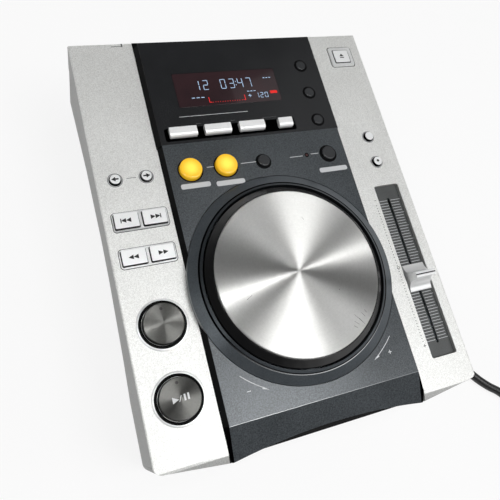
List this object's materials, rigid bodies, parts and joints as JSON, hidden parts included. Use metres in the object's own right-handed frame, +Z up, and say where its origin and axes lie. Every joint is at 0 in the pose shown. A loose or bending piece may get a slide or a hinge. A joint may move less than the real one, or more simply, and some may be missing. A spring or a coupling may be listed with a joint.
{
  "type": "disc player",
  "caption": "Tabletop slot-loading disc player with a large touch wheel, a tempo slider, transport buttons, a display panel and a mains lead.",
  "frame": {"origin": "middle of the player's bounding box on the table, under the feet; the mains lead isn't counted", "axes": "+X to the right of the person who plays, +Y from the front to the rear panel, +Z up"},
  "size_m": [0.4164, 0.4692, 0.1094],
  "materials": {
    "silver_paint": "satin metallic paint",
    "console_paint": "metallic charcoal paint",
    "panel_gloss": "gloss",
    "display_lens": "gloss, smoked red",
    "board_green": "matt",
    "collar_plastic": "satin",
    "black_plastic": "matt",
    "felt": "matt",
    "tray_steel": "matt",
    "foot_rubber": "matt",
    "screw_steel": "satin",
    "ring_silver": "metallic",
    "slider_plate": "matt",
    "plated_steel": "satin",
    "bronze": "satin",
    "iron_core": "varnished",
    "gilt": "plated",
    "lead_black": "satin",
    "wheel_black": "gloss",
    "spun_aluminium": "spun",
    "pad_metal": "spun, dark",
    "key_silver": "satin",
    "amber_lens": "lit",
    "button_black": "satin"
  },
  "bodies": {
    "player": {"top_cover": "silver_paint", "centre_deck": "console_paint", "display_panel": "panel_gloss", "display_window": "display_lens", "display_module": "board_green", "jog_collar": "collar_plastic", "slot_fascia": "black_plastic", "slot_lips": "felt", "base_chassis": "tray_steel", "rear_panel": "tray_steel", "feet": "foot_rubber", "base_screws": "screw_steel", "button_bezels": "ring_silver", "fader_plate": "slider_plate", "fader_body": "plated_steel", "control_board": "board_green", "jog_bearing": "bronze", "main_board": "board_green", "power_transformer": "iron_core", "rear_jacks": "gilt", "power_switch": "black_plastic", "strain_relief": "lead_black", "power_cord": "lead_black", "cord_coil": "lead_black", "cord_tie": "black_plastic", "power_plug": "lead_black", "loader_frame": "plated_steel", "guide_rods": "plated_steel", "spindle_motor": "plated_steel"},
    "jog_wheel": {"jog_rim": "wheel_black", "jog_plate": "spun_aluminium", "jog_spindle": "plated_steel"},
    "cue_button_body": {"cue_button": "pad_metal"},
    "play_button_body": {"play_button": "pad_metal"},
    "track_back_key_body": {"track_back_key": "key_silver"},
    "track_next_key_body": {"track_next_key": "key_silver"},
    "search_back_key_body": {"search_back_key": "key_silver"},
    "search_next_key_body": {"search_next_key": "key_silver"},
    "folder_back_button_body": {"folder_back_button": "key_silver"},
    "folder_next_button_body": {"folder_next_button": "key_silver"},
    "eject_button_body": {"eject_button": "key_silver"},
    "range_button_body": {"range_button": "key_silver"},
    "tempo_lock_button_body": {"tempo_lock_button": "key_silver"},
    "effect_key_1_body": {"effect_key_1": "key_silver"},
    "effect_key_2_body": {"effect_key_2": "key_silver"},
    "effect_key_3_body": {"effect_key_3": "key_silver"},
    "hold_key_body": {"hold_key": "key_silver"},
    "mode_button_1_body": {"mode_button_1": "button_black"},
    "mode_button_2_body": {"mode_button_2": "button_black"},
    "mode_button_3_body": {"mode_button_3": "button_black"},
    "loop_in_button_body": {"loop_in_button": "amber_lens"},
    "loop_out_button_body": {"loop_out_button": "amber_lens"},
    "reloop_button_body": {"reloop_button": "button_black"},
    "beat_loop_button_body": {"beat_loop_button": "button_black"},
    "tempo_slider": {"tempo_knob": "key_silver"},
    "power_button_body": {"power_button": "black_plastic"},
    "roller": {"feed_roller": "foot_rubber"},
    "disc_table": {"turntable": "black_plastic"},
    "disc_clamp": {"clamper": "key_silver"},
    "pickup": {"pickup_sled": "black_plastic"}
  },
  "joints": [
    {"name": "jog_turn", "type": "hinge", "parent": "player", "child": "jog_wheel", "pos_m": [0, -0.05092, 0.09317], "axis": [0, -0.0436, 0.999], "continuous": true},
    {"name": "cue_press", "type": "slide", "parent": "player", "child": "cue_button_body", "axis": [0, 0.0436, -0.999], "range_m": [0, 0.0012], "stiffness_N_per_m": 500, "springref_m": -0.0012},
    {"name": "play_press", "type": "slide", "parent": "player", "child": "play_button_body", "axis": [0, 0.0436, -0.999], "range_m": [0, 0.0012], "stiffness_N_per_m": 500, "springref_m": -0.0012},
    {"name": "track_back_press", "type": "slide", "parent": "player", "child": "track_back_key_body", "axis": [0, 0.0436, -0.999], "range_m": [0, 0.0008], "stiffness_N_per_m": 600, "springref_m": -0.001},
    {"name": "track_next_press", "type": "slide", "parent": "player", "child": "track_next_key_body", "axis": [0, 0.0436, -0.999], "range_m": [0, 0.0008], "stiffness_N_per_m": 600, "springref_m": -0.001},
    {"name": "search_back_press", "type": "slide", "parent": "player", "child": "search_back_key_body", "axis": [0, 0.0436, -0.999], "range_m": [0, 0.0008], "stiffness_N_per_m": 600, "springref_m": -0.001},
    {"name": "search_next_press", "type": "slide", "parent": "player", "child": "search_next_key_body", "axis": [0, 0.0436, -0.999], "range_m": [0, 0.0008], "stiffness_N_per_m": 600, "springref_m": -0.001},
    {"name": "folder_back_press", "type": "slide", "parent": "player", "child": "folder_back_button_body", "axis": [0, 0.0436, -0.999], "range_m": [0, 0.0008], "stiffness_N_per_m": 600, "springref_m": -0.001},
    {"name": "folder_next_press", "type": "slide", "parent": "player", "child": "folder_next_button_body", "axis": [0, 0.0436, -0.999], "range_m": [0, 0.0008], "stiffness_N_per_m": 600, "springref_m": -0.001},
    {"name": "eject_press", "type": "slide", "parent": "player", "child": "eject_button_body", "axis": [0, 0.0436, -0.999], "range_m": [0, 0.0008], "stiffness_N_per_m": 600, "springref_m": -0.001},
    {"name": "range_press", "type": "slide", "parent": "player", "child": "range_button_body", "axis": [0, 0.0436, -0.999], "range_m": [0, 0.0008], "stiffness_N_per_m": 600, "springref_m": -0.001},
    {"name": "tempo_lock_press", "type": "slide", "parent": "player", "child": "tempo_lock_button_body", "axis": [0, 0.0436, -0.999], "range_m": [0, 0.0008], "stiffness_N_per_m": 600, "springref_m": -0.001},
    {"name": "effect_1_press", "type": "slide", "parent": "player", "child": "effect_key_1_body", "axis": [0, 0.0436, -0.999], "range_m": [0, 0.0008], "stiffness_N_per_m": 600, "springref_m": -0.001},
    {"name": "effect_2_press", "type": "slide", "parent": "player", "child": "effect_key_2_body", "axis": [0, 0.0436, -0.999], "range_m": [0, 0.0008], "stiffness_N_per_m": 600, "springref_m": -0.001},
    {"name": "effect_3_press", "type": "slide", "parent": "player", "child": "effect_key_3_body", "axis": [0, 0.0436, -0.999], "range_m": [0, 0.0008], "stiffness_N_per_m": 600, "springref_m": -0.001},
    {"name": "hold_press", "type": "slide", "parent": "player", "child": "hold_key_body", "axis": [0, 0.0436, -0.999], "range_m": [0, 0.0008], "stiffness_N_per_m": 600, "springref_m": -0.001},
    {"name": "mode_1_press", "type": "slide", "parent": "player", "child": "mode_button_1_body", "axis": [0, 0.0436, -0.999], "range_m": [0, 0.0008], "stiffness_N_per_m": 600, "springref_m": -0.001},
    {"name": "mode_2_press", "type": "slide", "parent": "player", "child": "mode_button_2_body", "axis": [0, 0.0436, -0.999], "range_m": [0, 0.0008], "stiffness_N_per_m": 600, "springref_m": -0.001},
    {"name": "mode_3_press", "type": "slide", "parent": "player", "child": "mode_button_3_body", "axis": [0, 0.0436, -0.999], "range_m": [0, 0.0008], "stiffness_N_per_m": 600, "springref_m": -0.001},
    {"name": "loop_in_press", "type": "slide", "parent": "player", "child": "loop_in_button_body", "axis": [0, 0.0436, -0.999], "range_m": [0, 0.0008], "stiffness_N_per_m": 600, "springref_m": -0.001},
    {"name": "loop_out_press", "type": "slide", "parent": "player", "child": "loop_out_button_body", "axis": [0, 0.0436, -0.999], "range_m": [0, 0.0008], "stiffness_N_per_m": 600, "springref_m": -0.001},
    {"name": "reloop_press", "type": "slide", "parent": "player", "child": "reloop_button_body", "axis": [0, 0.0436, -0.999], "range_m": [0, 0.0008], "stiffness_N_per_m": 600, "springref_m": -0.001},
    {"name": "beat_loop_press", "type": "slide", "parent": "player", "child": "beat_loop_button_body", "axis": [0, 0.0436, -0.999], "range_m": [0, 0.0008], "stiffness_N_per_m": 600, "springref_m": -0.001},
    {"name": "tempo_slide", "type": "slide", "parent": "player", "child": "tempo_slider", "axis": [0, 0.999, 0.0436], "range_m": [-0.0426, 0.0574]},
    {"name": "power_press", "type": "slide", "parent": "player", "child": "power_button_body", "axis": [0, -1, 0], "range_m": [0, 0.003], "stiffness_N_per_m": 400, "springref_m": -0.002},
    {"name": "roller_turn", "type": "hinge", "parent": "player", "child": "roller", "pos_m": [0, -0.128, 0.0496], "axis": [1, 0, 0], "continuous": true},
    {"name": "turntable_turn", "type": "hinge", "parent": "player", "child": "disc_table", "pos_m": [0, -0.062, 0.0545], "axis": [0, 0, 1], "continuous": true},
    {"name": "clamper_turn", "type": "hinge", "parent": "player", "child": "disc_clamp", "pos_m": [0, -0.062, 0.0635], "axis": [0, 0, 1], "continuous": true},
    {"name": "pickup_slide", "type": "slide", "parent": "player", "child": "pickup", "axis": [0, 1, 0], "range_m": [-0.007, 0.026]}
  ]
}
